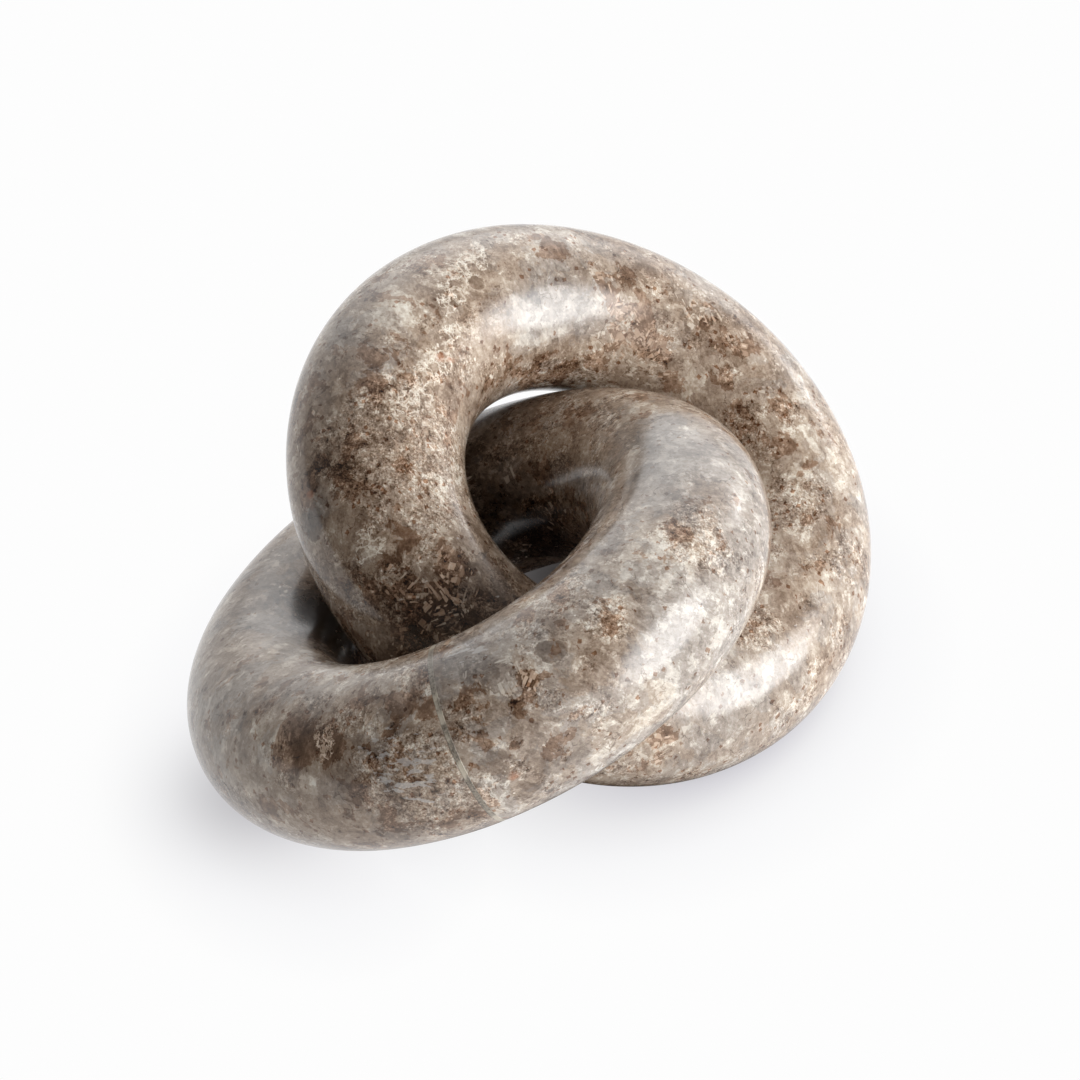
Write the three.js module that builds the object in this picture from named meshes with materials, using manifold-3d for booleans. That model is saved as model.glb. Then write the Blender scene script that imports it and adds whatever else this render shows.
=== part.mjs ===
// Two thick stone rings, linked through each other and leaning on a table.
// Millimetres, +Z up. The origin is on the table, under the middle of the pair.
// The front ring was sawn in two to link it, then pinned and glued round the rear ring's strand.
import * as THREE from 'three';
import { mergeVertices } from 'three/addons/utils/BufferGeometryUtils.js';
import Module from 'manifold-3d';

const wasm = await Module();
wasm.setup();

// Stone sizes. The strand is the round bar of stone that each ring is made of.
const ringRadius = 74.2; // from the middle of the hole to the middle of the strand
const rearStrandRadius = 28.9;
const frontStrandRadius = 29.1;

// The rings are shaped by hand, so they are a little oval and one strand swells.
// A turn is in degrees round the ring, from its lowest side.
const rearOval = 2.0; // how far the strand's middle strays from a circle
const rearOvalTurn = 34;
const rearSwell = 0.9; // how much the strand's radius grows and shrinks
const rearSwellTurn = 14;
const frontOval = 1.1;
const frontOvalTurn = 108;

// How the pair lies. Each ring slopes down to its own side, the rear one to slopeAzimuth.
const slopeAzimuth = -33.4; // degrees from +X, seen from above
const slopeTwist = 1.1; // what each ring is turned out of the common line
const slideDownSlope = 3.2; // between the two ring centres, along the slope
const strandOffCentre = 0.81; // share of the hole's play by which a strand runs off its middle
const contactClearance = 0.3; // between the two rings where they lean on each other
const leanRange = [10, 45]; // degrees in which the resting lean is looked for
const footFlatDepth = 0.5; // what is ground off a ring's lowest side, so that it sits still

// The two glued saw cuts of the front ring, on one line through the middle of its hole.
const seamTurn = 126;
const seamWidth = 1.7;
const glueClearance = 0.3; // from the glue to the stone and to the dowel
const dowelRadius = 4;
const dowelLength = 50;
const dowelChamfer = 0.8;
const dowelBoreClearance = 0.3;

// How finely the surfaces are cut into flat faces.
const strandSides = 24;
const ringSteps = 64;
const dowelSides = 20;
const contactSamples = 240;
const leanHalvings = 40;

// A flat-sided strand has the section area of the round one, so its corners stand proud.
const sideAngle = 2 * Math.PI / strandSides;
const cornerShare = Math.sqrt(sideAngle / Math.sin(sideAngle));
const radians = THREE.MathUtils.degToRad;

const rearRing = {
  strand: rearStrandRadius,
  oval: rearOval,
  ovalTurn: rearOvalTurn,
  swell: rearSwell,
  swellTurn: rearSwellTurn,
  azimuth: slopeAzimuth - slopeTwist,
  side: 1,
};
const frontRing = {
  strand: frontStrandRadius,
  oval: frontOval,
  ovalTurn: frontOvalTurn,
  swell: 0,
  swellTurn: 0,
  azimuth: slopeAzimuth + 180 + slopeTwist,
  side: -1,
};

// In a ring's own frame +X runs down its slope and +Z is the axis of its hole.
function centreRadius(ring, turn) {
  return ringRadius + ring.oval * Math.cos(2 * (turn - radians(ring.ovalTurn)));
}

function strandRadius(ring, turn) {
  return ring.strand + ring.swell * Math.cos(2 * (turn - radians(ring.swellTurn)));
}

function tiltOf(ring, lean) {
  return new THREE.Euler(0, radians(lean), radians(ring.azimuth), 'ZYX');
}

// Height of a ring's middle when its lowest side is ground flat and stands on the table.
function seatHeight(ring, lean) {
  let reach = 0;
  for (let i = 0; i < contactSamples; i++) {
    const turn = 2 * Math.PI * i / contactSamples;
    const drop = Math.sin(radians(lean)) * centreRadius(ring, turn) * Math.cos(turn);
    reach = Math.max(reach, drop + strandRadius(ring, turn));
  }
  return reach - footFlatDepth;
}

function centreOf(ring, lean) {
  const play = ringRadius - rearStrandRadius - frontStrandRadius;
  const acrossSlope = ringRadius - strandOffCentre * play;
  const centre = new THREE.Vector3(slideDownSlope, acrossSlope, 0).multiplyScalar(ring.side / 2);
  centre.applyAxisAngle(new THREE.Vector3(0, 0, 1), radians(slopeAzimuth));
  centre.z = seatHeight(ring, lean);
  return centre;
}

function strandLine(ring, lean) {
  const centre = centreOf(ring, lean);
  return Array.from({ length: contactSamples }, (_, i) => {
    const turn = 2 * Math.PI * i / contactSamples;
    const reach = centreRadius(ring, turn);
    const point = new THREE.Vector3(reach * Math.cos(turn), reach * Math.sin(turn), 0);
    point.applyEuler(tiltOf(ring, lean)).add(centre);
    return { point, radius: strandRadius(ring, turn) * cornerShare };
  });
}

// The least gap between the two strands at a lean.
function leastGap(lean) {
  const rear = strandLine(rearRing, lean);
  let gap = Infinity;
  for (const front of strandLine(frontRing, lean)) {
    for (const { point, radius } of rear) {
      gap = Math.min(gap, point.distanceTo(front.point) - radius - front.radius);
    }
  }
  return gap;
}

// Loose rings sink until they lean on each other: the flattest lean that keeps the clearance.
function restingLean() {
  let [flat, steep] = leanRange;
  for (let i = 0; i < leanHalvings; i++) {
    const middle = (flat + steep) / 2;
    if (leastGap(middle) < contactClearance) {
      flat = middle;
    } else {
      steep = middle;
    }
  }
  return steep;
}

const lean = restingLean();

// Solids for cutting and joining.
function solidFrom(geometry) {
  const bare = geometry.clone();
  bare.deleteAttribute('normal');
  bare.deleteAttribute('uv');
  const merged = mergeVertices(bare, 1e-4);
  return new wasm.Manifold(new wasm.Mesh({
    numProp: 3,
    vertProperties: new Float32Array(merged.attributes.position.array),
    triVerts: new Uint32Array(merged.index.array),
  }));
}

function meshFrom(solid, name, material) {
  const { vertProperties, triVerts } = solid.getMesh();
  const geometry = new THREE.BufferGeometry();
  geometry.setAttribute('position', new THREE.BufferAttribute(vertProperties, 3));
  geometry.setIndex(new THREE.BufferAttribute(triVerts, 1));
  geometry.computeVertexNormals();
  const mesh = new THREE.Mesh(geometry, material);
  mesh.name = name;
  return mesh;
}

function solidBox(width, depth, height, matrix) {
  return solidFrom(new THREE.BoxGeometry(width, depth, height).applyMatrix4(matrix));
}

// A whole ring in its own frame: a torus whose middle line is oval and whose strand swells.
function ringSolid(ring) {
  const corner = ring.strand * cornerShare;
  const torus = new THREE.TorusGeometry(ringRadius, corner, strandSides, ringSteps);
  const position = torus.attributes.position;
  for (let i = 0; i < position.count; i++) {
    const x = position.getX(i);
    const y = position.getY(i);
    const turn = Math.atan2(y, x);
    const growth = strandRadius(ring, turn) / ring.strand;
    const reach = centreRadius(ring, turn) + growth * (Math.hypot(x, y) - ringRadius);
    position.setXYZ(i, reach * Math.cos(turn), reach * Math.sin(turn), growth * position.getZ(i));
  }
  return solidFrom(torus);
}

// The ring's group stands it on the table, and its foot is ground off level with the table.
const span = 4 * (ringRadius + frontStrandRadius + rearStrandRadius);

function ringGroup(ring) {
  const group = new THREE.Group();
  group.position.copy(centreOf(ring, lean));
  group.rotation.copy(tiltOf(ring, lean));
  group.updateMatrix();
  return group;
}

function belowTable(group) {
  const toRing = group.matrix.clone().invert();
  const under = new THREE.Matrix4().makeTranslation(0, 0, -span / 2);
  return solidBox(span, span, span, toRing.multiply(under));
}

const stone = new THREE.MeshStandardMaterial({ color: 0x8d7c6b, roughness: 0.2, metalness: 0 });
const paleStone = new THREE.MeshStandardMaterial({ color: 0xa09485, roughness: 0.2, metalness: 0 });
const glue = new THREE.MeshStandardMaterial({ color: 0xa29a8c, roughness: 0.3, metalness: 0 });
const steel = new THREE.MeshStandardMaterial({ color: 0xb4b6b8, roughness: 0.35, metalness: 1 });

function rearRingGroup() {
  const group = ringGroup(rearRing);
  const solid = ringSolid(rearRing).subtract(belowTable(group));
  group.add(meshFrom(solid, 'rear_ring', stone));
  return group;
}

// Where a saw cut crosses the strand: its middle, with +Y along the strand and +Z across the ring.
function seamPlace(turn) {
  const reach = centreRadius(frontRing, turn);
  const place = new THREE.Matrix4().makeRotationZ(turn);
  return place.multiply(new THREE.Matrix4().makeTranslation(reach, 0, 0));
}

function cylinderAt(place, radius, length) {
  return solidFrom(new THREE.CylinderGeometry(radius, radius, length, dowelSides).applyMatrix4(place));
}

function dowelGeometry() {
  const half = dowelLength / 2;
  const profile = [
    new THREE.Vector2(0, -half),
    new THREE.Vector2(dowelRadius - dowelChamfer, -half),
    new THREE.Vector2(dowelRadius, -half + dowelChamfer),
    new THREE.Vector2(dowelRadius, half - dowelChamfer),
    new THREE.Vector2(dowelRadius - dowelChamfer, half),
    new THREE.Vector2(0, half),
  ];
  return new THREE.LatheGeometry(profile, dowelSides);
}

// Everything on one side of the saw line, or the thin slice that the glue fills.
function besideSaw(direction, gap) {
  const saw = new THREE.Matrix4().makeRotationZ(radians(seamTurn));
  const shift = direction * (span + gap) / 2;
  return solidBox(span, span, span, saw.multiply(new THREE.Matrix4().makeTranslation(0, shift, 0)));
}

function sawSlice(turn, width) {
  const size = 4 * frontStrandRadius;
  return solidBox(size, width, size, seamPlace(turn));
}

function frontRingGroup() {
  const group = ringGroup(frontRing);
  const turns = [radians(seamTurn), radians(seamTurn + 180)];
  const boreRadius = dowelRadius + dowelBoreClearance;
  const boreLength = dowelLength + 2 * dowelBoreClearance;
  const ground = ringSolid(frontRing).subtract(belowTable(group));
  let bored = ground;
  for (const turn of turns) {
    bored = bored.subtract(cylinderAt(seamPlace(turn), boreRadius, boreLength));
  }
  const lower = bored.intersect(besideSaw(-1, seamWidth));
  const upper = bored.intersect(besideSaw(1, seamWidth));
  group.add(meshFrom(lower, 'front_ring_lower_half', stone));
  group.add(meshFrom(upper, 'front_ring_upper_half', paleStone));

  const glueWidth = seamWidth - 2 * glueClearance;
  const glueBore = dowelRadius + glueClearance;
  ['front', 'back'].forEach((where, i) => {
    const place = seamPlace(turns[i]);
    const film = ground.intersect(sawSlice(turns[i], glueWidth));
    const ringFilm = film.subtract(cylinderAt(place, glueBore, 2 * seamWidth));
    group.add(meshFrom(ringFilm, `${where}_seam_glue`, glue));
    const dowel = new THREE.Mesh(dowelGeometry(), steel);
    dowel.name = `${where}_seam_dowel`;
    dowel.applyMatrix4(place);
    group.add(dowel);
  });
  return group;
}

const sculpture = new THREE.Group();
sculpture.add(rearRingGroup(), frontRingGroup());

// The origin is under the middle of the whole pair.
const middle = new THREE.Box3().setFromObject(sculpture, true).getCenter(new THREE.Vector3());
sculpture.position.set(-middle.x, -middle.y, 0);

export default sculpture;
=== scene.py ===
import math
from collections import namedtuple

import bpy
import numpy as np
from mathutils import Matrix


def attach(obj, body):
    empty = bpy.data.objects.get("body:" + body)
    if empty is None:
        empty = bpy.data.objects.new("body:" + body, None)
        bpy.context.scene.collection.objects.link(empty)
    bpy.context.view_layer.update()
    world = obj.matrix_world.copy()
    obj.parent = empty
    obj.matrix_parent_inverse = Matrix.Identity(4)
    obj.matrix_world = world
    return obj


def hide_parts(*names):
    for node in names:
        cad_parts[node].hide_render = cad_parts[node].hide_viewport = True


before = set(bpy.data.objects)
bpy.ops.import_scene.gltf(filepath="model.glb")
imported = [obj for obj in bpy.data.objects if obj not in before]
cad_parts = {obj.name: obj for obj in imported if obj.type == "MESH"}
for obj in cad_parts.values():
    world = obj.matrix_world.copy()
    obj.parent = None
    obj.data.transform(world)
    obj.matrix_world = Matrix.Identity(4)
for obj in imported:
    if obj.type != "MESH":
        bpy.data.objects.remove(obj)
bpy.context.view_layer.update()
mm = 0.001

# The camera stands in front of the pair and looks down on it at 46 degrees from about a metre away.
# It is a long lens, so the two rings are hardly foreshortened.
focal_pixels = 3200
frame_pixels = 1080
sensor_width = 36
camera_data = bpy.data.cameras.new("camera")
camera_data.sensor_width = sensor_width
camera_data.lens = focal_pixels * sensor_width / frame_pixels
camera = bpy.data.objects.new("camera", camera_data)
camera.location = (0.00105, -0.73602, 0.83075)
camera.rotation_euler = (math.radians(44.22), 0, 0)
bpy.context.scene.collection.objects.link(camera)
bpy.context.scene.camera = camera

# Rear ring: one round of brown fossil marble, turned and carved out of a block and hand polished.
# It stands on its lowest side, leans on the front ring and has no joint anywhere.
# Its fragments, shards and rust stains are those of a broken shell limestone that has grown together again.
ring_radius = 74.2 * mm
lean = math.radians(29.905)
foot_height = 0.0
polish_depth = 0.09 * mm
polish_waves = 14
skin_turns = 512
skin_sides = 192
rear_ring = {
    "middle": np.array([16.471, 26.755, 66.645]) * mm,
    "azimuth": math.radians(-34.5),
    "strand": 28.85 * mm,
    "oval": 2.0 * mm,
    "oval_turn": math.radians(34),
    "swell": 0.9 * mm,
    "swell_turn": math.radians(14),
    "seed": 3,
}


def ring_axes(ring):
    """A ring's own axes in the shared frame: down its slope, across it, and out of its hole."""
    a = ring["azimuth"]
    down = np.array([math.cos(a) * math.cos(lean), math.sin(a) * math.cos(lean), -math.sin(lean)])
    out = np.array([math.cos(a) * math.sin(lean), math.sin(a) * math.sin(lean), math.cos(lean)])
    return down, np.cross(out, down), out


def middle_radius(ring, turn):
    """The strand's middle line is an oval: the ring radius plus a wave that comes round twice."""
    return ring_radius + ring["oval"] * np.cos(2 * (turn - ring["oval_turn"]))


def hand_polish(ring, turn, side):
    """How far hand polishing has dished the skin, 0 to 1: a sum of slow waves round and along the strand."""
    random = np.random.default_rng(ring["seed"])
    along = random.integers(5, 19, polish_waves)
    around = random.integers(1, 6, polish_waves)
    start = random.uniform(0, 2 * math.pi, polish_waves)
    total = sum(np.cos(a * turn + b * side + s) for a, b, s in zip(along, around, start))
    return np.clip(0.5 + total / (2.4 * math.sqrt(polish_waves)), 0, 1)


def ring_point(ring, turn, side, depth=0.0):
    """A point of the skin. It lies in the plane of its turn, on a circle of the strand's radius less depth
    round the middle line. A side of 0 is the outer rim and 90 degrees is the top. What would be below
    the table is ground flat."""
    down, across, out = ring_axes(ring)
    swell = ring["swell"] * np.cos(2 * (turn - ring["swell_turn"]))
    radius = ring["strand"] + swell - depth - polish_depth * hand_polish(ring, turn, side)
    reach = middle_radius(ring, turn) + radius * np.cos(side)
    point = ring["middle"] + (reach * np.cos(turn))[..., None] * down
    point = point + (reach * np.sin(turn))[..., None] * across + (radius * np.sin(side))[..., None] * out
    point[..., 2] = np.maximum(point[..., 2], foot_height)
    return point


def grid_mesh(name, points, closed=(True, True), poles=()):
    """A mesh of four-sided faces over a grid of points. A closed direction joins its last row to its first,
    and a pole closes the first or the last row with a fan."""
    rows, columns = points.shape[:2]
    i, j = np.meshgrid(
        np.arange(rows if closed[0] else rows - 1),
        np.arange(columns if closed[1] else columns - 1),
        indexing="ij",
    )
    next_i, next_j = (i + 1) % rows, (j + 1) % columns
    corners = [i * columns + j, next_i * columns + j, next_i * columns + next_j, i * columns + next_j]
    faces = np.stack(corners, -1).reshape(-1, 4).tolist()
    vertices = [points.reshape(-1, 3), *[np.array([pole]) for pole in poles]]
    ring_of = np.arange(columns)
    for number, row in enumerate((0, rows - 1)[: len(poles)]):
        here, there = row * columns + ring_of, row * columns + (ring_of + 1) % columns
        tip = np.full(columns, rows * columns + number)
        fan = (tip, here, there) if row == 0 else (tip, there, here)
        faces += np.stack(fan, -1).tolist()
    mesh = bpy.data.meshes.new(name)
    mesh.from_pydata(np.concatenate(vertices), [], faces, shade_flat=False)
    mesh.update()
    piece = bpy.data.objects.new(name, mesh)
    bpy.context.scene.collection.objects.link(piece)
    return piece


stone_traits = ("shade", "grain", "brown", "cream", "shards", "lace", "clast", "rust", "grey", "milk")


def stone_patches(piece, ring, patches):
    """Write how the stone varies over a piece as vertex values; some patches are painted shade, one a
    painted highlight and some a painted reflection. Each patch adds its weight times exp(-(distance /
    reach)^2), where distance is measured straight from a spot on the skin."""
    count = len(piece.data.vertices)
    place = np.empty(count * 3, np.float32)
    piece.data.vertices.foreach_get("co", place)
    place = place.reshape(-1, 3)
    totals = {trait: np.zeros(count, np.float32) for trait in stone_traits}
    for turn, side, reach, traits in patches:
        spot = ring_point(ring, np.array(math.radians(turn)), np.array(math.radians(side)))
        distance = np.linalg.norm(place - spot, axis=1) / (reach * mm)
        for trait, weight in traits.items():
            totals[trait] += weight * np.exp(-distance**2)
    for trait, total in totals.items():
        piece.data.attributes.new("stone_" + trait, "FLOAT", "POINT").data.foreach_set("value", total)


class Field:
    """A value that varies through a material. An expression on fields adds the Math nodes for it."""

    def __init__(self, tree, socket=None):
        self.tree = tree
        self.socket = socket

    def node(self, kind, settings, sockets, output=0):
        """Add any node: its settings first, then a number or a field for each socket."""
        made = self.tree.nodes.new(kind)
        for setting, value in settings.items():
            if setting == "stops":
                elements = made.color_ramp.elements
                while len(elements) < len(value):
                    elements.new(1.0)
                for element, (position, colour) in zip(elements, value):
                    element.position = position
                    element.color = (*colour, 1)
            else:
                setattr(made, setting, value)
        for name, value in sockets.items():
            if isinstance(value, Field):
                self.tree.links.new(value.socket, made.inputs[name])
            else:
                made.inputs[name].default_value = value
        return Field(self.tree, made.outputs[output] if made.outputs else None)

    def beside(self, output):
        """Another output of the node that this field comes from."""
        return Field(self.tree, self.socket.node.outputs[output])

    def math(self, operation, first, second=0):
        return self.node("ShaderNodeMath", {"operation": operation}, {0: first, 1: second})

    def __abs__(self):
        return self.math("ABSOLUTE", self)

    def __add__(self, other):
        return self.math("ADD", self, other)

    def __sub__(self, other):
        return self.math("SUBTRACT", self, other)

    def __rsub__(self, other):
        return self.math("SUBTRACT", other, self)

    def __mul__(self, other):
        return self.math("MULTIPLY", self, other)

    __radd__ = __add__
    __rmul__ = __mul__

    def rises(self, low, high):
        """0 below low, 1 above high, and smooth between them. With high under low it falls instead."""
        settings = {"interpolation_type": "SMOOTHSTEP"}
        return self.node("ShaderNodeMapRange", settings, {"Value": self, "From Min": low, "From Max": high})

    def over(self, colour, other):
        """colour where this field is 1, other where it is 0."""
        settings = {"data_type": "RGBA"}
        return self.node("ShaderNodeMix", settings, {0: self, 6: other, 7: colour}, 2)


def new_finish(name):
    """An empty material and the field that its nodes start from."""
    material = bpy.data.materials.new(name)
    material.use_nodes = True
    material.node_tree.nodes.clear()
    return material, Field(material.node_tree)


def colour(red, green, blue):
    """A colour as a screen shows it, 0 to 255, turned into the light that it reflects."""
    shown = (red / 255, green / 255, blue / 255)
    return tuple(c / 12.92 if c < 0.04045 else ((c + 0.055) / 1.055) ** 2.4 for c in shown)


warm_stone = [
    (0.00, colour(36, 25, 17)),
    (0.20, colour(74, 55, 39)),
    (0.40, colour(114, 94, 77)),
    (0.58, colour(150, 130, 112)),
    (0.76, colour(185, 168, 150)),
    (0.90, colour(214, 203, 187)),
    (1.00, colour(234, 228, 216)),
]
grey_stone = [
    (0.00, colour(38, 34, 32)),
    (0.25, colour(84, 76, 71)),
    (0.50, colour(128, 118, 110)),
    (0.75, colour(172, 163, 154)),
    (1.00, colour(220, 214, 205)),
]
pink_tint = colour(255, 222, 198)
# A pale grey, laid over the stone near the front ring's seam as a painted reflection.
painted_reflection_colour = colour(206, 203, 200)
rust_colour = colour(172, 104, 64)
middle_tone = 0.61
polished_roughness = 0.16
stone_ior = 1.56
pit_depth = 0.05 * mm

# What the stone is made of, in millimetres. Its shell beds tilt by bedding, in radians about each axis.
bedding = (-0.77, 0, 0)
bend_size = 17
bend_reach = 10
elsewhere_shift = (31, 17, 53)
slow_cloud_size = 34
bed_size = 18
grain_patch_size = 15
brown_patch_size = 10
cream_patch_size = 7
island_size = 7
island_heights = (0.40, 0.46, 0.53, 0.59)
block_size = 9
lump_size = 4.6
fleck_size = 3.0
granule_size = 1.0
speck_size = 1.5
red_chip_size = 2.3
grit_size = 0.6
streak_size = 1.6
streak_lie = (0.3, 0.6, 0.5)
streak_stretch = (0.22, 1, 0.6)
painted_reflection_stretch = (300, 1000, 1000)
bunch_size = 8
flake_kinds = ((1.2, 2.8, 0), (3.0, 1.7, 9), (4.5, 1.15, 23), (6.0, 0.8, 37))  # stretch, width and offset
lace_fold_size = 6.5
lace_web_size = 5.0
crack_cell_size = 15


Pieces = namedtuple("Pieces", "near first second third")


class Stone:
    """The nodes of one block of stone, solid all through, with places in millimetres. spot is a point of
    the block, bent is that point pushed about by a slow cloud, and elsewhere is bent in another part of it.
    ragged and lumpy are clouds about 0, fine is a cloud about 0.5, and grain is 1 where the stone is grainy
    and 0 where it is calm."""

    def __init__(self, start, shift, lie):
        self.node = start.node
        self.object_place = self.node("ShaderNodeTexCoord", {}, {}, "Object")
        self.spot = self.in_block(lie, shift)
        self.bent = self.pushed(self.spot, bend_size, bend_reach)
        self.elsewhere = self.vector("ADD", self.bent, elsewhere_shift)
        self.ragged = self.cloud(self.spot, 2.6, 4, 0.7) - 0.5
        self.lumpy = self.cloud(self.spot, 6, 5, 0.65) - 0.5
        self.fine = self.cloud(self.spot, fleck_size, 6, 0.75)
        uneven = self.cloud(self.bent, grain_patch_size, 6, 0.62) - 0.5
        self.grain = (self.trait("grain") + 1.8 * uneven).rises(-0.02, 0.14)

    def in_block(self, lie, shift=(0, 0, 0)):
        """The object's place in millimetres, turned by lie and moved by shift."""
        sockets = {"Vector": self.object_place, "Location": shift, "Rotation": lie, "Scale": (1 / mm,) * 3}
        return self.node("ShaderNodeMapping", {}, sockets)

    def trait(self, which):
        return self.node("ShaderNodeAttribute", {"attribute_name": "stone_" + which}, {}, "Fac")

    def cloud(self, where, size, detail=3, roughness=0.5, output="Fac"):
        sockets = {"Vector": where, "Scale": 1 / size, "Detail": detail, "Roughness": roughness}
        return self.node("ShaderNodeTexNoise", {}, sockets, output)

    def vector(self, operation, first, second):
        return self.node("ShaderNodeVectorMath", {"operation": operation}, {0: first, 1: second})

    def pushed(self, where, size, reach, detail=2):
        """where, pushed about by a cloud of that size as far as reach."""
        sway = self.vector("SUBTRACT", self.cloud(self.spot, size, detail, output="Color"), (0.5, 0.5, 0.5))
        return self.vector("ADD", where, self.vector("MULTIPLY", sway, (reach, reach, reach)))

    def pieces(self, where, size, metric="EUCLIDEAN"):
        """Pieces scattered at random: near is how far a spot is from its piece's middle, in sizes, and the
        others are three random numbers for the piece. With the metric CHEBYCHEV they are square blocks."""
        sockets = {"Vector": where, "Scale": 1 / size}
        near = self.node("ShaderNodeTexVoronoi", {"distance": metric}, sockets, "Distance")
        split = self.node("ShaderNodeSeparateColor", {}, {"Color": near.beside("Color")})
        return Pieces(near, split, split.beside("Green"), split.beside("Blue"))

    def borders(self, where, size):
        """How far a spot is from the border between two pieces, in sizes."""
        sockets = {"Vector": where, "Scale": 1 / size}
        return self.node("ShaderNodeTexVoronoi", {"feature": "DISTANCE_TO_EDGE"}, sockets, "Distance")

    def fanned(self):
        """Places along the tilted beds, turned by another random angle in each bunch of fragments."""
        bunch = self.pieces(self.bent, bunch_size)
        turn = {0: 0.5 * bunch.second, 1: 0.4 * bunch.first, 2: 6.3 * bunch.first}
        return self.node("ShaderNodeVectorRotate", {"rotation_type": "EULER_XYZ"}, {
            "Vector": self.in_block(bedding),
            "Rotation": self.node("ShaderNodeCombineXYZ", {}, turn),
        })


def clouds(stone):
    """Slow clouds, and two clouds that are cut at set heights, so that they end in crisp shores."""
    slow = stone.cloud(stone.bent, slow_cloud_size, 2) - 0.5
    isles = stone.cloud(stone.bent, island_size, 8, 0.66)
    steps = -len(island_heights) / 2
    for height in island_heights:
        steps = steps + isles.rises(height, height + 0.007)
    bed = stone.cloud(stone.elsewhere, bed_size, 8, 0.62)
    beds = 0.05 * bed.rises(0.54, 0.55) - 0.065 * bed.rises(0.47, 0.46)
    return 0.28 * slow + 0.036 * steps + beds


def fine_grain(stone):
    """The finest clouds and grit, and flecks where the fine cloud is high or low."""
    grit = stone.cloud(stone.spot, grit_size, 2, 0.8) - 0.5
    flecks = stone.fine.rises(0.55, 0.56) - stone.fine.rises(0.45, 0.44)
    soft = (0.2 + 0.2 * stone.grain) * (stone.fine - 0.5)
    return soft + (0.03 + 0.05 * stone.grain) * flecks + (0.2 + 0.7 * stone.grain) * grit


def streaks(stone):
    """Long thin streaks where the stone is calm: a fine cloud that is drawn out one way."""
    turned = stone.node("ShaderNodeMapping", {}, {"Vector": stone.spot, "Rotation": streak_lie})
    drawn_out = stone.cloud(stone.vector("MULTIPLY", turned, streak_stretch), streak_size, 4, 0.7)
    crisp = drawn_out.rises(0.57, 0.58) - drawn_out.rises(0.42, 0.41)
    return (1 - stone.grain) * (0.25 * (drawn_out - 0.5) + 0.05 * crisp)


def fragments(stone):
    """Broken pieces of two sizes, each of one tone, and small dark and pale chips among them."""
    block = stone.pieces(stone.pushed(stone.bent, 4, 3.5, 4), block_size).first - 0.5
    lump = stone.pieces(stone.pushed(stone.bent, 2.6, 2.0, 4), lump_size).first - 0.5
    dark = stone.cloud(stone.elsewhere, 3.4, 3, 0.55).rises(0.64, 0.655)
    pale = stone.cloud(stone.bent, 2.8, 3, 0.55).rises(0.635, 0.65)
    chips = (0.04 + 0.09 * stone.grain) * pale - (0.06 + 0.09 * stone.grain) * dark
    return 0.11 * block + (0.06 + 0.07 * stone.grain) * lump + chips


def with_flakes(stone, tone, fanned):
    """Shell flakes of four shapes laid over the tone. Each kind is a random scatter of square blocks,
    stretched along the bunch, of which some are picked and take a tone of their own."""
    shards = stone.trait("shards") + 1.2 * (stone.cloud(stone.spot, 18) - 0.62)
    for stretch, width, offset in flake_kinds:
        moved = stone.vector("ADD", fanned, (offset, offset, offset))
        flake = stone.pieces(stone.vector("MULTIPLY", moved, (1, 1 / stretch, 0.8)), width, "CHEBYCHEV")
        inside = (flake.near + 0.25 * stone.ragged).rises(0.36, 0.32)
        picked = (flake.first + 0.8 * shards).rises(0.92, 0.94)
        tone = tone + 0.85 * inside * picked * (0.58 + 0.34 * flake.second - tone)
    return tone


def with_clasts(stone, tone):
    """Rounded darker lumps with a pale rim, where the trait and the lumpy cloud together are high."""
    height = stone.trait("clast") + stone.lumpy
    rim = height.rises(0.34, 0.40) * (1 - height.rises(0.45, 0.50))
    return tone + 0.65 * height.rises(0.42, 0.46) * (0.40 + 1.2 * stone.ragged - tone) + 0.11 * rim


def with_lace(stone, tone):
    """Pale threads along the folds of a cloud and the borders of pieces, in a broken paler crust."""
    here = (stone.trait("lace") + 1.6 * stone.lumpy).rises(0.28, 0.38)
    folds = abs(stone.cloud(stone.spot, lace_fold_size, 7, 0.64) - 0.5)
    web = stone.borders(stone.pushed(stone.spot, 2.4, 4.5, 5), lace_web_size) + 0.10 * stone.ragged
    threads = (folds.rises(0.017, 0.010) + web.rises(0.050, 0.032)).rises(0.1, 0.9)
    crust = (folds.rises(0.07, 0.05) + web.rises(0.16, 0.12)).rises(0.1, 0.9)
    crust = crust * stone.ragged.rises(0.035, 0.05)
    return tone + here * (0.55 * crust * (0.95 - tone) + 0.75 * threads * (1 - tone) - 0.04)


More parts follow.
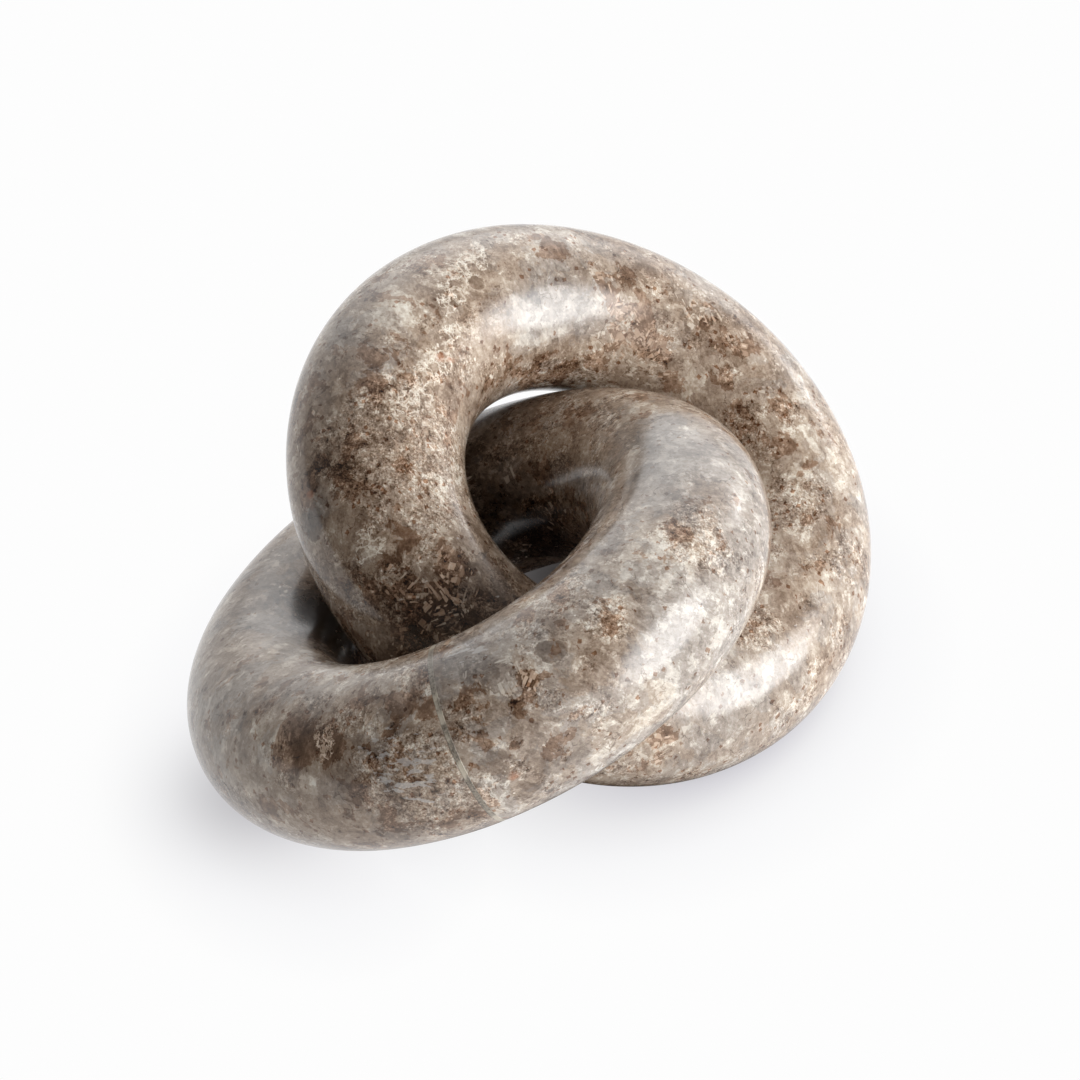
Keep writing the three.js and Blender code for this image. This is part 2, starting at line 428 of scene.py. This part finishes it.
def marble(name, shift, lie, cool):
    """Broken shell limestone, solid all through. A tone from 0, near black, to 1, cream, is the sum of its
    clouds, fragments, grains and streaks. Flakes, clasts and lace are laid over it, and two ramps turn the
    tone into brown stone and grey stone. cool is how grey the whole piece leans."""
    material, start = new_finish(name)
    node = start.node
    stone = Stone(start, shift, lie)
    grain = stone.grain

    browner = stone.trait("brown") + 1.7 * (stone.cloud(stone.bent, brown_patch_size, 8, 0.66) - 0.5)
    paler = stone.trait("cream") + 1.7 * (stone.cloud(stone.elsewhere, cream_patch_size, 8, 0.66) - 0.5)
    brown = browner.rises(0.12, 0.145)
    cream = paler.rises(0.12, 0.14)
    # The patches' shade is mostly the stone's own tone, but where it is deep in crevices and hollows it is
    # painted shade, and one pale patch is a painted highlight.
    tone = middle_tone + stone.trait("shade") - 0.17 * brown + 0.15 * cream
    tone = tone + clouds(stone) + fine_grain(stone) + streaks(stone) + fragments(stone)

    granule = stone.pieces(stone.spot, granule_size)
    pale_speck = stone.cloud(stone.spot, 1.25, 2, 0.5).rises(0.58, 0.66)
    dark_speck = stone.cloud(stone.elsewhere, 1.1, 2, 0.5).rises(0.59, 0.68)
    tone = tone + (0.02 + 0.17 * grain) * (granule.first - 0.5)
    tone = tone + (0.03 + 0.14 * grain) * pale_speck - (0.03 + 0.12 * grain) * dark_speck

    fanned = stone.fanned()
    tone = with_lace(stone, with_clasts(stone, with_flakes(stone, tone, fanned)))

    speck = stone.pieces(stone.spot, speck_size)
    speck_here = speck.near.rises(0.24, 0.18) * (speck.first + 0.12 * grain).rises(0.92, 0.94)
    chip = stone.pieces(stone.pushed(fanned, 1.2, 0.8), red_chip_size, "CHEBYCHEV")
    red_chip = chip.near.rises(0.30, 0.27) * (chip.first + 0.10 * grain).rises(0.90, 0.91)
    crack = stone.borders(stone.pushed(stone.spot, 6, 7, 4), crack_cell_size).rises(0.010, 0.003)
    crack = crack * stone.cloud(stone.spot, 9, 2).rises(0.54, 0.60)
    tone = tone + speck_here * (0.5 * speck.second - 0.22) - 0.22 * red_chip - 0.25 * crack

    warm = node("ShaderNodeValToRGB", {"stops": warm_stone}, {"Fac": tone})
    grey = node("ShaderNodeValToRGB", {"stops": grey_stone}, {"Fac": tone})
    smoky = stone.cloud(stone.elsewhere, 13, 6, 0.6).rises(0.50, 0.53)
    greyness = cool + stone.trait("grey") + 0.8 * (stone.cloud(stone.bent, 24) - 0.5)
    greyness = greyness + 0.3 * smoky - 0.3 * brown
    skin = greyness.rises(-0.1, 1.0).over(grey, warm)

    tinted = {0: 1.0, 6: skin, 7: (*pink_tint, 1)}
    pink = node("ShaderNodeMix", {"data_type": "RGBA", "blend_type": "MULTIPLY"}, tinted, 2)
    pinkness = 0.4 * brown + 0.2 * grain * granule.second.rises(0.6, 0.8)
    pinkness = pinkness + 0.16 * dark_speck + 0.9 * red_chip
    skin = pinkness.over(pink, skin)
    # Painted reflection: a pale grey veil, streaked one way, laid over the stone where the patches ask for
    # it near the front ring's seam.
    smeared = stone.cloud(stone.vector("MULTIPLY", stone.object_place, painted_reflection_stretch), 2.2, 5, 0.62)
    milk = (stone.trait("milk") + 1.5 * (smeared - 0.5)).rises(0.30, 0.35)
    skin = (0.5 * milk).over((*painted_reflection_colour, 1), skin)
    stains = stone.trait("rust") + 1.3 * (stone.cloud(stone.elsewhere, 5, 4) - 0.68)
    rust = stains.rises(0.12, 0.5) * (2 * stone.fine - 0.5)
    skin = (0.8 * rust).over((*rust_colour, 1), skin)

    pits = node("ShaderNodeBump", {"invert": True}, {
        "Strength": 0.25,
        "Distance": pit_depth,
        "Height": crack + 0.3 * grain * granule.third + 0.3 * dark_speck,
    }, "Normal")
    shader = node("ShaderNodeBsdfPrincipled", {}, {
        "Base Color": skin,
        "Roughness": polished_roughness + 0.04 * (granule.third - 0.5) + 0.10 * crack,
        "IOR": stone_ior,
        "Normal": pits,
    })
    node("ShaderNodeOutputMaterial", {}, {"Surface": shader})
    return material


# Turn and side in degrees, reach in millimetres, and what the patch adds to each trait.
rear_patches = [
    (200, 32, 14, {"grey": 0.5, "grain": -0.5}),
    # Set by the light: the next three make the stone calmer and a little darker where the softbox's
    # highlights fall on the rear ring.
    (158, 105, 13, {"shade": -0.08, "grain": -1.0, "grey": 0.5, "brown": -0.3}),
    (138, 107, 13, {"shade": -0.08, "grain": -1.0, "grey": 0.5, "brown": -0.3}),
    (331, 52, 13, {"shade": -0.08, "grain": -1.0, "grey": 0.3, "brown": -0.3}),
    (191, 62, 9, {"shade": 0.05, "cream": 0.3, "grain": -0.4}),
    (163, 60, 4, {"lace": 0.6, "cream": 0.1}),
    (168, 68, 5, {"lace": 0.9, "cream": 0.2}),
    (175, 76, 5, {"lace": 0.8, "cream": 0.1}),
    (182, 83, 4.5, {"lace": 0.8}),
    (188, 97, 4.5, {"lace": 0.6}),
    (203, 99, 5, {"lace": 0.8, "cream": 0.2}),
    (210, 95, 5, {"lace": 0.7}),
    (215, 86, 5, {"lace": 0.7}),
    (218, 72, 5, {"lace": 0.5}),
    (172, 86, 3.6, {"clast": 0.8, "lace": -0.6}),
    (198, 103, 6, {"cream": 0.25, "lace": 0.6}),
    (198, 101, 2.5, {"rust": 0.9}),
    (196, 110, 2, {"rust": 0.7}),
    (206, 68, 8, {"brown": 0.3, "grey": 0.5, "grain": -0.2}),
    (214, 79, 8, {"cream": 0.1, "grain": 0.4, "rust": 0.1}),
    (214, 31, 9, {"brown": 0.1, "grain": -0.4}),
    (225, 66, 18, {"shade": -0.07, "grain": 0.6}),
    (225, 18, 20, {"shade": -0.09, "grain": -0.2}),
    (252, 10, 14, {"shade": -0.08}),
    (227, 104, 12, {"shade": 0.03, "grain": 0.5}),
    (228, 30, 10, {"brown": 0.25, "grain": 0.2}),
    (241, 72, 8, {"shade": -0.05}),
    (251, 66, 8, {"shade": 0.05}),
    (237, 8, 6, {"clast": 0.7, "grey": 0.8}),
    (234, 16, 5, {"clast": 0.5, "grey": 0.8}),
    (231, 15, 3, {"rust": 0.6}),
    (245, 45, 5, {"lace": 0.9}),
    (243, 101, 7, {"cream": 0.15, "shards": 0.3}),
    (260, 70, 14, {"shade": -0.10, "brown": 0.15, "shards": 0.42}),
    (258, 40, 13, {"shade": -0.04, "brown": 0.1, "shards": 0.25, "grain": 0.3}),
    # Painted shade: the next three darken the rear ring's leg where it runs in behind the front ring.
    (270, 20, 16, {"shade": -0.35}),
    (272, 60, 13, {"shade": -0.3}),
    (275, 95, 14, {"shade": -0.25}),
    (152, 158, 14, {"brown": 0.25, "grain": 0.3}),
    (154, 169, 3, {"cream": 0.5}),
    (146, 80, 8, {"brown": 0.3, "rust": 0.15}),
    # Set by the light: the next two make the stone calm and grey where the softbox's highlight falls on the
    # rear ring's top.
    (149, 119, 11, {"grain": -1.0, "grey": 0.7, "brown": -0.5, "cream": 0.15}),
    (163, 124, 10, {"grain": -0.8, "grey": 0.5, "brown": -0.4, "cream": 0.15}),
    (130, 97, 9, {"brown": 0.3, "grain": 0.3}),
    (135, 88, 4, {"shards": 0.8}),
    (140, 55, 14, {"grey": 0.5, "grain": -0.3}),
    (118, 102, 4, {"cream": 0.35, "rust": 0.2}),
    (107, 122, 5, {"cream": 0.4}),
    (93, 133, 5, {"cream": 0.5, "grain": -0.5, "rust": 0.35}),
    (105, 86, 9, {"shards": 0.7, "brown": 0.2, "grain": -0.2}),
    (127, 120, 9, {"shards": 0.7, "brown": 0.15, "grain": -0.3}),
    (113, 143, 9, {"shards": 0.7, "brown": 0.2, "shade": -0.04}),
    (90, 97, 8, {"brown": 0.25, "shards": 0.2}),
    (70, 116, 14, {"brown": 0.15, "grain": 0.2, "shade": 0.05}),
    (52, 94, 12, {"shade": 0.04, "cream": 0.1, "grain": -0.3}),
    (37, 112, 12, {"grain": 0.5, "rust": 0.25}),
    (105, 60, 13, {"shade": 0.04, "grey": 0.6, "grain": -0.4, "brown": -0.2}),
    (75, 62, 15, {"shade": 0.04, "grey": 0.6, "grain": -0.4, "brown": -0.2}),
    (45, 58, 16, {"shade": 0.04, "grey": 0.6, "grain": -0.4, "brown": -0.2}),
    (18, 66, 18, {"shade": 0.03, "grey": 0.4, "brown": -0.1}),
    (155, 35, 20, {"shade": 0.02, "grey": 0.5, "brown": -0.15}),
    (350, 99, 8, {"brown": 0.2, "grain": 0.5, "rust": 0.2}),
    # Painted highlight: a paler, greyer patch where the softbox's broad highlight falls low on the rear
    # ring, with calm stone at its middle.
    (340, 60, 30, {"shade": 0.11, "grey": 0.7, "brown": -0.15}),
    (338, 70, 14, {"grain": -0.8, "brown": -0.3, "cream": 0.1}),
    (318, 38, 9, {"brown": 0.3, "shards": 0.6}),
]

skin_turn, skin_side = np.meshgrid(
    np.linspace(0, 2 * math.pi, skin_turns, endpoint=False),
    np.linspace(0, 2 * math.pi, skin_sides, endpoint=False),
    indexing="ij",
)
rear_stone = grid_mesh("rear_ring_marble", ring_point(rear_ring, skin_turn, -skin_side))
stone_patches(rear_stone, rear_ring, rear_patches)
rear_stone.data.materials.append(marble("rear_marble", (0, 0, 0), (0.3, 0.2, 0.9), -0.15))
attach(rear_stone, "rear_link")
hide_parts("rear_ring")

# Front ring: the same marble, sawn across at two places so that it could be closed round the rear ring.
# Its halves were bored for a dowel at each end, glued, and polished over as one round.
# The saw's edge crumbled a little, so the rim of each cut is chipped.
seam_turn = math.radians(126)
seam_width = 1.7 * mm
bore_radius = 4.3 * mm
bore_depth = 25.3 * mm
rim_rows = np.array([0, 0.08, 0.18, 0.32, 0.5, 0.8]) * mm
skin_rows_from = 1.3 * mm
skin_rows = 244
chip_depth = 0.16 * mm
chip_reach = 0.28 * mm
chip_waves = 40
corner_angle = math.radians(40)
front_ring = {
    "middle": np.array([-19.823, -22.474, 65.155]) * mm,
    "azimuth": math.radians(147.7),
    "strand": 29.05 * mm,
    "oval": 1.1 * mm,
    "oval_turn": math.radians(108),
    "swell": 0.0,
    "swell_turn": 0.0,
    "seed": 8,
}


def crumble(side, seed):
    """How deep the rim of a cut is chipped, 0 to 1: waves round the strand of many lengths, sharpened."""
    random = np.random.default_rng(seed)
    counts = random.integers(4, 90, chip_waves)
    starts = random.uniform(0, 2 * math.pi, chip_waves)
    total = sum(np.cos(n * side + s) / math.sqrt(n) for n, s in zip(counts, starts))
    return np.clip(0.25 + 0.35 * total, 0, 1) ** 2


def cut_place(turn):
    """The middle of the strand at a cut, the way outwards, and the way along the strand."""
    down, across, out = ring_axes(front_ring)
    outward = math.cos(turn) * down + math.sin(turn) * across
    middle = front_ring["middle"] + float(middle_radius(front_ring, turn)) * outward
    return middle, outward, np.cross(out, outward), out


def half_ring(name, first_turn, seed):
    """Half of the front ring, as one profile carried round the strand. The profile runs from the bottom of
    the first bore up its wall, over the cut face and the chipped rim, along the skin, and down the same way
    at the other end."""
    side = -np.linspace(0, 2 * math.pi, skin_sides, endpoint=False)
    outer = middle_radius(front_ring, first_turn) + front_ring["strand"] * np.cos(side)
    first_edge = first_turn + np.arcsin(seam_width / 2 / outer)
    last_turn = first_turn + math.pi
    outer = middle_radius(front_ring, last_turn) + front_ring["strand"] * np.cos(side)
    last_edge = last_turn - np.arcsin(seam_width / 2 / outer)

    close = rim_rows / ring_radius
    even = np.linspace(skin_rows_from / ring_radius, math.pi - skin_rows_from / ring_radius, skin_rows)
    share = np.concatenate([close, even, math.pi - close[::-1]]) / math.pi
    turn = first_edge + share[:, None] * (last_edge - first_edge)
    sides = np.broadcast_to(side, turn.shape)
    from_first = share * math.pi * ring_radius
    from_last = from_first[::-1]
    near_first = np.exp(-((from_first[:, None] / chip_reach) ** 2))
    near_last = np.exp(-((from_last[:, None] / chip_reach) ** 2))
    chips = chip_depth * (0.25 + crumble(side, seed)) * near_first
    chips += chip_depth * (0.25 + crumble(side, seed + 1)) * near_last
    skin = ring_point(front_ring, turn, sides, chips)

    def bored_end(edge, at_turn, inward):
        """Rows from the bottom of a bore to the rim: over its bottom, up its wall, out over the cut face."""
        middle, outward, along, out = cut_place(at_turn)
        round_way = np.cos(side)[:, None] * outward + np.sin(side)[:, None] * out
        mouth = middle + inward * seam_width / 2 * along
        bottom = middle + inward * bore_depth * along
        floor_rows = [bottom + bore_radius * f * round_way for f in (0.35, 0.7, 1.0)]
        depths = [s * mouth + (1 - s) * bottom for s in np.linspace(0.1, 1, 10)]
        wall_rows = [depth + bore_radius * round_way for depth in depths]
        lip = mouth + bore_radius * round_way
        face_rows = [lip + f * (edge - lip) for f in np.linspace(0.08, 0.92, 12)]
        return np.array(floor_rows + wall_rows + face_rows), bottom

    first_rows, first_bottom = bored_end(skin[0], first_turn, 1)
    last_rows, last_bottom = bored_end(skin[-1], last_turn, -1)
    points = np.concatenate([first_rows, skin, last_rows[::-1]])
    piece = grid_mesh(name, points, (False, True), (first_bottom, last_bottom))
    piece.data.set_sharp_from_angle(angle=corner_angle)
    return piece


upper_patches = [
    (148, 49, 4.5, {"clast": 0.7, "grain": -0.3}),
    (151, 47, 4.5, {"clast": 0.5, "grain": -0.3}),
    (162, 40, 8, {"brown": 0.25, "grain": 0.7, "grey": -0.4}),
    (186, 35, 11, {"brown": 0.16, "grain": 0.8, "grey": -0.3}),
    (142, 44, 5, {"shards": 0.7, "brown": 0.1}),
    (155, 60, 16, {"shade": 0.04}),
    (131, 42, 7, {"brown": 0.1, "grain": 0.2}),
    (133, 352, 2.5, {"rust": 0.7}),
    (127, 349, 6, {"lace": 0.8, "cream": 0.2}),
    (130, 335, 9, {"cream": 0.3, "grain": -0.2}),
    (160, 335, 20, {"shade": 0.02, "cream": 0.1, "grain": -0.2, "brown": -0.2}),
    (185, 350, 18, {"shade": 0.05, "grey": 0.4, "brown": -0.2}),
    (176, 10, 18, {"shade": 0.08, "cream": 0.1, "grey": 0.5, "grain": -0.3, "brown": -0.2}),
    (176, 56, 14, {"shade": 0.05, "cream": 0.15, "grain": -0.3}),
    (143, 356, 5, {"brown": 0.3}),
    (212, 60, 22, {"shade": -0.06, "grey": 0.6, "grain": -0.9, "brown": -0.3}),
    (205, 3, 14, {"shade": 0.04, "grey": 0.3}),
    (263, 114, 26, {"shade": 0.04, "grey": -0.4, "grain": 0.1}),
    # Painted reflection: the pale veil by the seam on the upper half.
    (134, 78, 9, {"shade": 0.02, "grey": 0.6, "grain": -0.5, "milk": 0.25}),
    # Set by the light: calmer, darker stone where the softbox's highlight falls on the front ring.
    (170, 9, 14, {"shade": -0.09, "grain": -1.2, "grey": 0.5, "brown": -0.5}),
    (147, 311, 14, {"shade": 0.08, "grey": 0.2}),
    # Painted shade: the next three darken the front ring's inner face deep in the hole that the rear ring
    # passes through.
    (295, 180, 22, {"shade": -0.4}),
    (275, 200, 18, {"shade": -0.3}),
    (300, 115, 20, {"shade": -0.2}),
]
lower_patches = [
    (28, 97, 30, {"grey": 0.4, "grain": -0.9, "brown": -0.3}),
    (66, 63, 22, {"grey": 0.3, "grain": -0.5}),
    (94, 47, 7, {"brown": 0.5, "shade": -0.12, "grey": -0.8}),
    (102, 48, 6, {"lace": 0.6, "grey": -0.8, "brown": 0.3, "shade": -0.05}),
    (108, 20, 16, {"shade": -0.04, "brown": 0.1, "grey": -0.2}),
    # Painted reflection: the next two lay the pale veil by the seam on the lower half.
    (114, 31, 13, {"grey": 0.3, "milk": 0.24}),
    (119, 8, 10, {"milk": 0.22}),
    (119, 59, 5, {"brown": 0.35, "grey": 0.3}),
    (118, 7, 14, {"grain": 0.4}),
    (96, 359, 10, {"shade": 0.06, "grain": -0.8, "grey": -0.3}),
    (101, 344, 9, {"shade": 0.08, "grain": -0.6}),
    (122, 67, 4, {"grain": 0.8}),
    (95, 104, 14, {"shade": 0.10, "grey": 0.4}),
    # Painted shade: the next three darken the front ring's inner face in the crevice beside the rear ring's
    # leg.
    (24, 138, 15, {"shade": -0.35}),
    (36, 156, 15, {"shade": -0.45}),
    (45, 168, 14, {"shade": -0.35}),
]
lower_half = half_ring("front_ring_lower_marble", seam_turn + math.pi, 21)
stone_patches(lower_half, front_ring, lower_patches)
lower_half.data.materials.append(marble("front_lower_marble", (60, -25, 12), (1.2, 0.4, 0.3), 0.1))
upper_half = half_ring("front_ring_upper_marble", seam_turn, 33)
stone_patches(upper_half, front_ring, upper_patches)
upper_half.data.materials.append(marble("front_upper_marble", (-45, 40, 31), (0.5, 1.3, 0.8), 0.3))
for half, node in ((lower_half, "front_ring_lower_half"), (upper_half, "front_ring_upper_half")):
    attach(half, "front_link")
    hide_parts(node)

# Seams: stone-coloured resin that fills both saw cuts and is polished nearly flush with the marble.
# The dowel runs through the middle of each.
resin_sunk = 0.05 * mm
resin_light = colour(152, 143, 130)
resin_dark = colour(104, 95, 85)
resin_smear = colour(205, 194, 176)
resin_ior = 1.54
resin_sides = 384
resin_dust_per_mm = 1.4
resin_smears_per_mm = 0.12
dowel_radius = 4.0 * mm


def seam_filling(name, turn):
    """A slice of the strand with a hole for the dowel: a closed profile over the outer band, down one cut
    face, through the hole and up the other face, carried round the strand. The band is a shallow hollow."""
    side = -np.linspace(0, 2 * math.pi, resin_sides, endpoint=False)
    middle, outward, along, out = cut_place(turn)
    round_way = np.cos(side)[:, None] * outward + np.sin(side)[:, None] * out
    half = seam_width / 2
    across = np.linspace(-1, 1, 9)
    reach = middle_radius(front_ring, turn) + front_ring["strand"] * np.cos(side)
    at = turn + across[:, None] * half / reach
    sunk = resin_sunk * (1.5 - across[:, None] ** 2) + 0 * side
    band = ring_point(front_ring, at, np.broadcast_to(side, at.shape), sunk)
    hole = [middle + s * half * along + dowel_radius * round_way for s in (1, -1)]
    down_face = [band[-1] + f * (hole[0] - band[-1]) for f in (0.33, 0.67)]
    up_face = [hole[1] + f * (band[0] - hole[1]) for f in (0.33, 0.67)]
    points = np.concatenate([band, down_face, hole, up_face])
    return grid_mesh(name, points)


def resin():
    """Resin with stone dust in it: two greys in fine clouds, cream smears and a slightly uneven skin."""
    material, start = new_finish("seam_resin")
    node = start.node
    spot = node("ShaderNodeMapping", {}, {
        "Vector": node("ShaderNodeTexCoord", {}, {}, "Object"), "Scale": (1 / mm,) * 3})
    dust_sockets = {"Vector": spot, "Scale": resin_dust_per_mm, "Detail": 4, "Roughness": 0.6}
    dust = node("ShaderNodeTexNoise", {}, dust_sockets)
    smear = node("ShaderNodeTexNoise", {}, {"Vector": spot, "Scale": resin_smears_per_mm, "Detail": 3})
    body = dust.rises(0.35, 0.65).over((*resin_light, 1), (*resin_dark, 1))
    body = (0.7 * smear.rises(0.5, 0.62)).over((*resin_smear, 1), body)
    bump = node("ShaderNodeBump", {}, {"Strength": 0.3, "Distance": pit_depth, "Height": dust}, "Normal")
    shader = node("ShaderNodeBsdfPrincipled", {}, {
        "Base Color": body, "Roughness": 0.22 + 0.15 * dust, "IOR": resin_ior, "Normal": bump})
    node("ShaderNodeOutputMaterial", {}, {"Surface": shader})
    return material


seam_resin = resin()
for where, turn in (("front", seam_turn), ("back", seam_turn + math.pi)):
    filling = seam_filling(where + "_seam_resin", turn)
    filling.data.materials.append(seam_resin)
    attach(filling, "front_link")
    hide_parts(where + "_seam_glue")

# Dowels: two pieces of ground stainless bar, chamfered at both ends, that hold the halves in line.
# They lie wholly inside the stone.
dowel_half = 25 * mm
dowel_chamfer = 0.8 * mm
dowel_sides = 64
steel_grains_per_mm = 3.0
steel_bright = colour(196, 196, 198)
steel_dark = colour(160, 161, 164)


def steel():
    """Ground bar: a fine grain, seen as a change of brightness and gloss."""
    material, start = new_finish("ground_steel")
    node = start.node
    spot = node("ShaderNodeMapping", {}, {
        "Vector": node("ShaderNodeTexCoord", {}, {}, "Object"), "Scale": (1 / mm,) * 3})
    grain_sockets = {"Vector": spot, "Scale": steel_grains_per_mm, "Detail": 3, "Roughness": 0.7}
    grain = node("ShaderNodeTexNoise", {}, grain_sockets)
    shine = grain.over((*steel_bright, 1), (*steel_dark, 1))
    shader = node("ShaderNodeBsdfPrincipled", {}, {
        "Base Color": shine, "Roughness": 0.28 + 0.2 * grain, "Metallic": 1.0})
    node("ShaderNodeOutputMaterial", {}, {"Surface": shader})
    return material


def dowel(name, turn):
    """A round bar: radius as a profile of the length, carried round its axis, with a pole at each end."""
    side = -np.linspace(0, 2 * math.pi, dowel_sides, endpoint=False)
    middle, outward, along, out = cut_place(turn)
    round_way = np.cos(side)[:, None] * outward + np.sin(side)[:, None] * out
    ends = dowel_half - dowel_chamfer
    profile = [
        (-dowel_half, 0.5 * dowel_radius),
        (-dowel_half, dowel_radius - dowel_chamfer),
        *[(s, dowel_radius) for s in np.linspace(-ends, ends, 13)],
        (dowel_half, dowel_radius - dowel_chamfer),
        (dowel_half, 0.5 * dowel_radius),
    ]
    rows = np.array([middle + s * along + r * round_way for s, r in profile])
    tips = (middle - dowel_half * along, middle + dowel_half * along)
    bar = grid_mesh(name, rows, (False, True), tips)
    bar.data.set_sharp_from_angle(angle=corner_angle)
    return bar


ground_steel = steel()
for where, turn in (("front", seam_turn), ("back", seam_turn + math.pi)):
    bar = dowel(where + "_steel_dowel", turn)
    bar.data.materials.append(ground_steel)
    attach(bar, "front_link")
    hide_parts(where + "_seam_dowel")

# Table top: a plain white square. The camera sees it white, with shade painted into its colour: darker
# where a ring stands close over it, a painted shadow at the front ring's foot, and nearly black in the
# hole that both rings cover. The polished stone mirrors it with painted shade all under the pair, and
# light that bounces off it finds a matt white with painted shade under the pair.
table_size = 6.0
contact_reach = 0.05
table_shades = [
    (0.00, (0.40, 0.39, 0.42)),
    (0.30, (0.74, 0.73, 0.77)),
    (0.50, (0.87, 0.865, 0.88)),
    (0.70, (0.94, 0.94, 0.95)),
    (0.95, (0.983, 0.983, 0.983)),
]
# Matt white, and the painted shade colours for under the pair, the hole and the front ring's foot.
matt_white = (0.92, 0.92, 0.92, 1)
matt_painted_shade = (0.05, 0.045, 0.04, 1)
deep_shade = (0.012, 0.008, 0.007, 1)
foot_shade = (0.12, 0.11, 0.13, 1)
foot_middle = (-0.098, -0.046, 0)
foot_reach = 0.027
hole_middle = (0.012, 0.055, 0)
hole_reach = 0.07
deep_reach = 0.16
pair_reach = 0.105
edge = table_size / 2
table_mesh = bpy.data.meshes.new("table")
corners = [(-edge, -edge, 0), (edge, -edge, 0), (edge, edge, 0), (-edge, edge, 0)]
table_mesh.from_pydata(corners, [], [(0, 1, 2, 3)])
table = bpy.data.objects.new("table", table_mesh)
bpy.context.scene.collection.objects.link(table)


def white_table():
    """White that takes painted shade from how open the table lies: a ramp on the openness within a
    short reach, a painted soft round shadow at the front ring's foot, and deep painted shade in the hole
    where both rings cover it. A soft round is exp(-(distance / reach)^2)."""
    material, start = new_finish("white_table")
    node = start.node
    place = node("ShaderNodeTexCoord", {}, {}, "Object")

    def openness(reach, samples):
        return node("ShaderNodeAmbientOcclusion", {"samples": samples}, {"Distance": reach}, "AO")

    def soft_round(middle, reach):
        distance = node("ShaderNodeVectorMath", {"operation": "DISTANCE"}, {0: place, 1: middle}, "Value")
        away = (1 / reach) * distance
        return start.math("EXPONENT", -1 * (away * away))

    shaded = node("ShaderNodeValToRGB", {"stops": table_shades}, {"Fac": openness(contact_reach, 64)})
    shaded = (0.42 * soft_round(foot_middle, foot_reach)).over(foot_shade, shaded)
    covered = openness(deep_reach, 48).rises(0.62, 0.24) * soft_round(hole_middle, hole_reach)
    seen = (0.97 * covered).over(deep_shade, shaded)
    beneath = soft_round((0, 0, 0), pair_reach).rises(0.25, 0.75)
    mirrored = beneath.over(deep_shade, shaded)

    to_camera = node("ShaderNodeLightPath", {}, {}, "Is Camera Ray")
    glow = node("ShaderNodeEmission", {}, {"Color": to_camera.over(seen, mirrored)})
    matt = node("ShaderNodeBsdfDiffuse", {}, {"Color": beneath.over(matt_painted_shade, matt_white)})
    glows = to_camera + to_camera.beside("Is Glossy Ray")
    white = node("ShaderNodeMixShader", {}, {0: glows, 1: matt, 2: glow})
    node("ShaderNodeOutputMaterial", {}, {"Surface": white})
    return material


table.data.materials.append(white_table())

# Light: a plain studio. One big round softbox low on the right gives the white highlights, and pale walls
# run from the front right round the back to the left. Azimuths are clockwise from straight behind it.
room_light = 0.06
softbox = {"azimuth": 106, "height": 20, "strength": 6.9, "full_to": 14, "gone_at": 26}
walls = [
    {"azimuth": 110, "height": 10, "width": 24, "strength": 2.8},
    {"azimuth": 150, "height": 10, "width": 24, "strength": 1.4},
    {"azimuth": 65, "height": 10, "width": 24, "strength": 0.6},
    {"azimuth": 46, "height": 6, "width": 8, "strength": 2.8},
    {"azimuth": 26, "height": 10, "width": 24, "strength": 1.8},
    {"azimuth": -10, "height": 10, "width": 24, "strength": 1.5},
    {"azimuth": -48, "height": 12, "width": 28, "strength": 0.7},
    {"azimuth": -5, "height": 42, "width": 28, "strength": 1.5},
]


def way_to(lamp):
    """The direction of a lamp or a wall as seen from the pair."""
    azimuth, height = math.radians(lamp["azimuth"]), math.radians(lamp["height"])
    return (math.sin(azimuth) * math.cos(height), math.cos(azimuth) * math.cos(height), math.sin(height))


def studio_light(tree):
    """The light from each direction: the room's, a disc with a soft edge for the softbox, and for each
    wall its strength times exp(-(angle / width)^2). The camera sees plain white behind the table."""
    start = Field(tree)
    way = start.node("ShaderNodeTexCoord", {}, {}, "Generated")

    def facing(lamp):
        sockets = {0: way, 1: way_to(lamp)}
        return start.node("ShaderNodeVectorMath", {"operation": "DOT_PRODUCT"}, sockets, "Value")

    inner, outer = (math.cos(math.radians(softbox[rim])) for rim in ("full_to", "gone_at"))
    light = room_light + softbox["strength"] * facing(softbox).rises(outer, inner)
    for wall in walls:
        sharpness = 2 / math.radians(wall["width"]) ** 2
        light = light + wall["strength"] * start.math("EXPONENT", sharpness * (facing(wall) - 1))
    behind = start.node("ShaderNodeLightPath", {}, {}, "Is Camera Ray")
    light = light + (1 - light) * behind
    room = start.node("ShaderNodeBackground", {}, {"Color": (1, 1, 1, 1), "Strength": light})
    start.node("ShaderNodeOutputWorld", {}, {"Surface": room})


world = bpy.data.worlds.new("studio")
bpy.context.scene.world = world
world.use_nodes = True
world.node_tree.nodes.clear()
studio_light(world.node_tree)
bpy.context.scene.view_settings.view_transform = "Standard"
